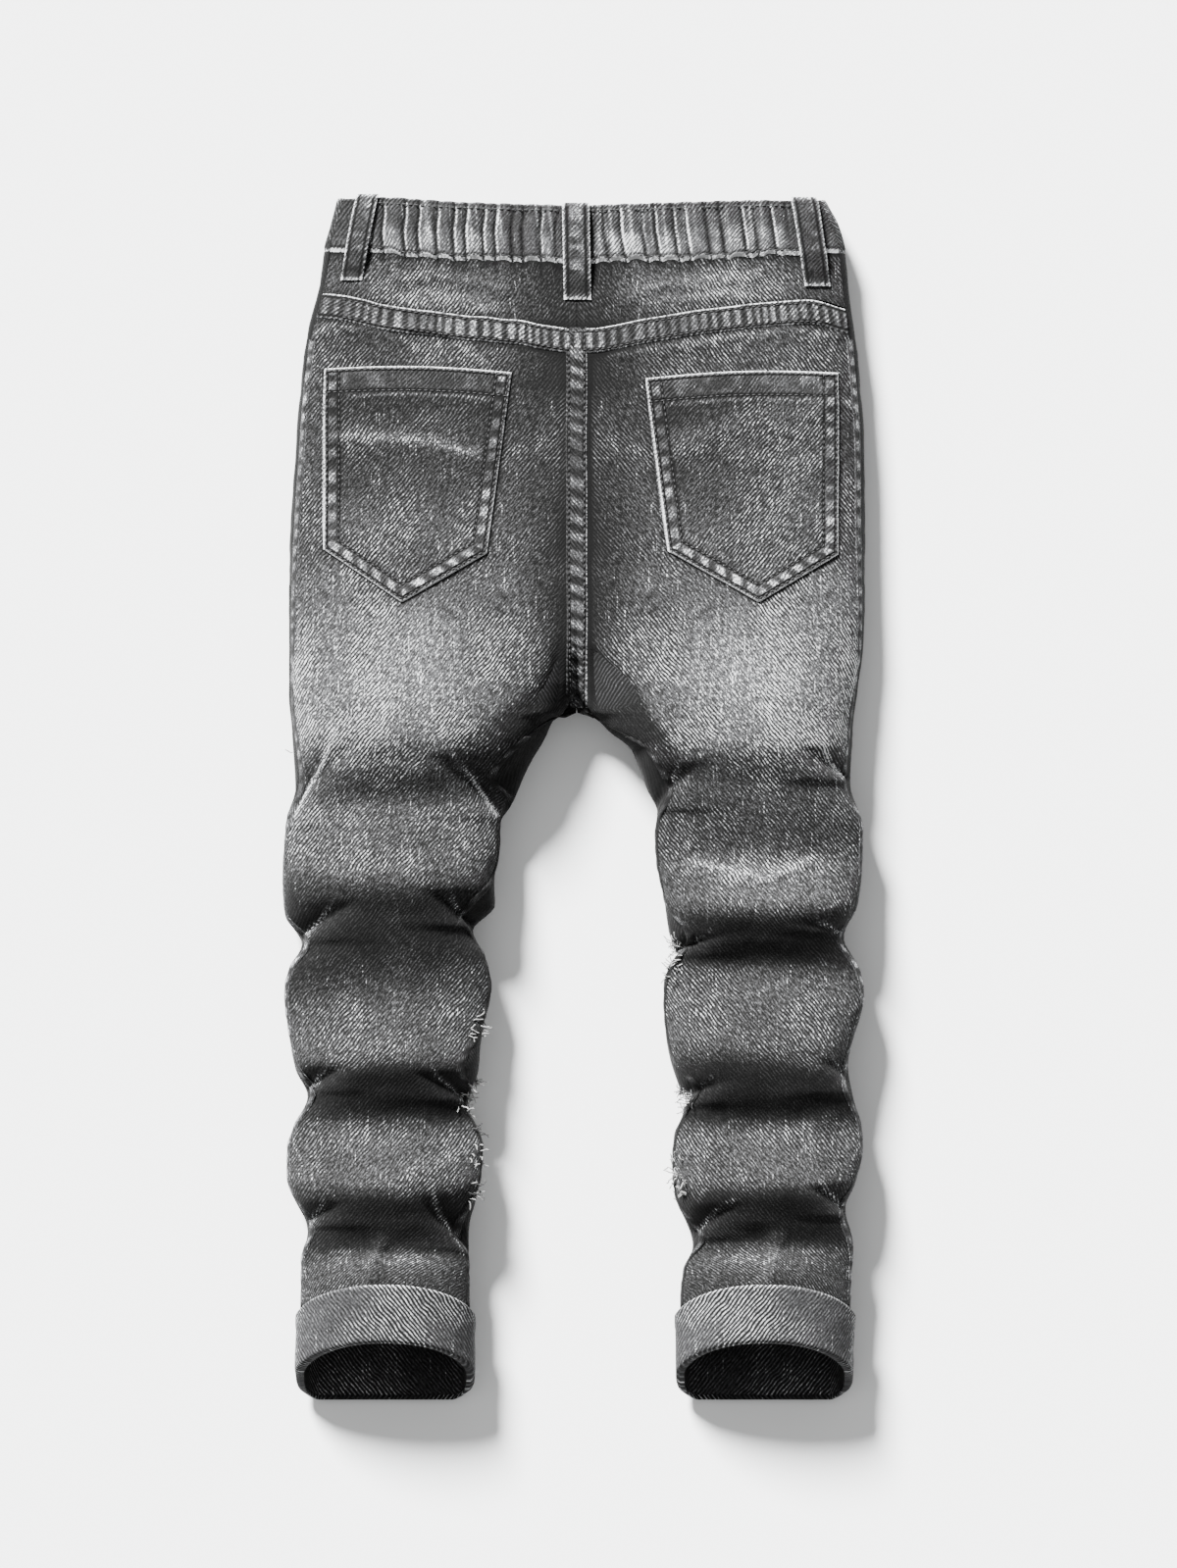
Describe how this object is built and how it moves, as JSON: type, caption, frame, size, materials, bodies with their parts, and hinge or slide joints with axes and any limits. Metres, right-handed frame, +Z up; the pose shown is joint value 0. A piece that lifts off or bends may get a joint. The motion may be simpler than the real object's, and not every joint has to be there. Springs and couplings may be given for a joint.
{
  "type": "child's ripped jeans, laid on their front",
  "caption": "Worn grey child's jeans lying front down, hollow legs buckled into folds, gathered back waistband, seat pockets and turned-up cuffs.",
  "frame": {"origin": "middle of the garment's outline, on the surface that it lies on", "axes": "+X towards the right leg as seen from above, +Y from the hems to the waist, +Z up from the surface"},
  "size_m": [0.2956, 0.6141, 0.047],
  "materials": {
    "denim": "washed grey twill, faded in patches, rubbed pale along seams and folds",
    "turned_hem": "paler wrong side of the twill",
    "button_metal": "blackened, rubbed at the rim"
  },
  "bodies": {
    "root": {"back_left": "denim", "back_right": "denim", "front_left": "denim", "front_right": "denim", "yoke_left": "denim", "yoke_right": "denim", "waistband_back": "denim", "waistband_front": "denim", "pocket_left": "denim", "pocket_right": "denim", "loop_back_left": "denim", "loop_centre": "denim", "loop_back_right": "denim", "loop_front_left": "denim", "loop_front_right": "denim", "cuff_left": "turned_hem", "cuff_right": "turned_hem", "fly_flap": "denim", "waist_button": "button_metal"}
  },
  "joints": []
}
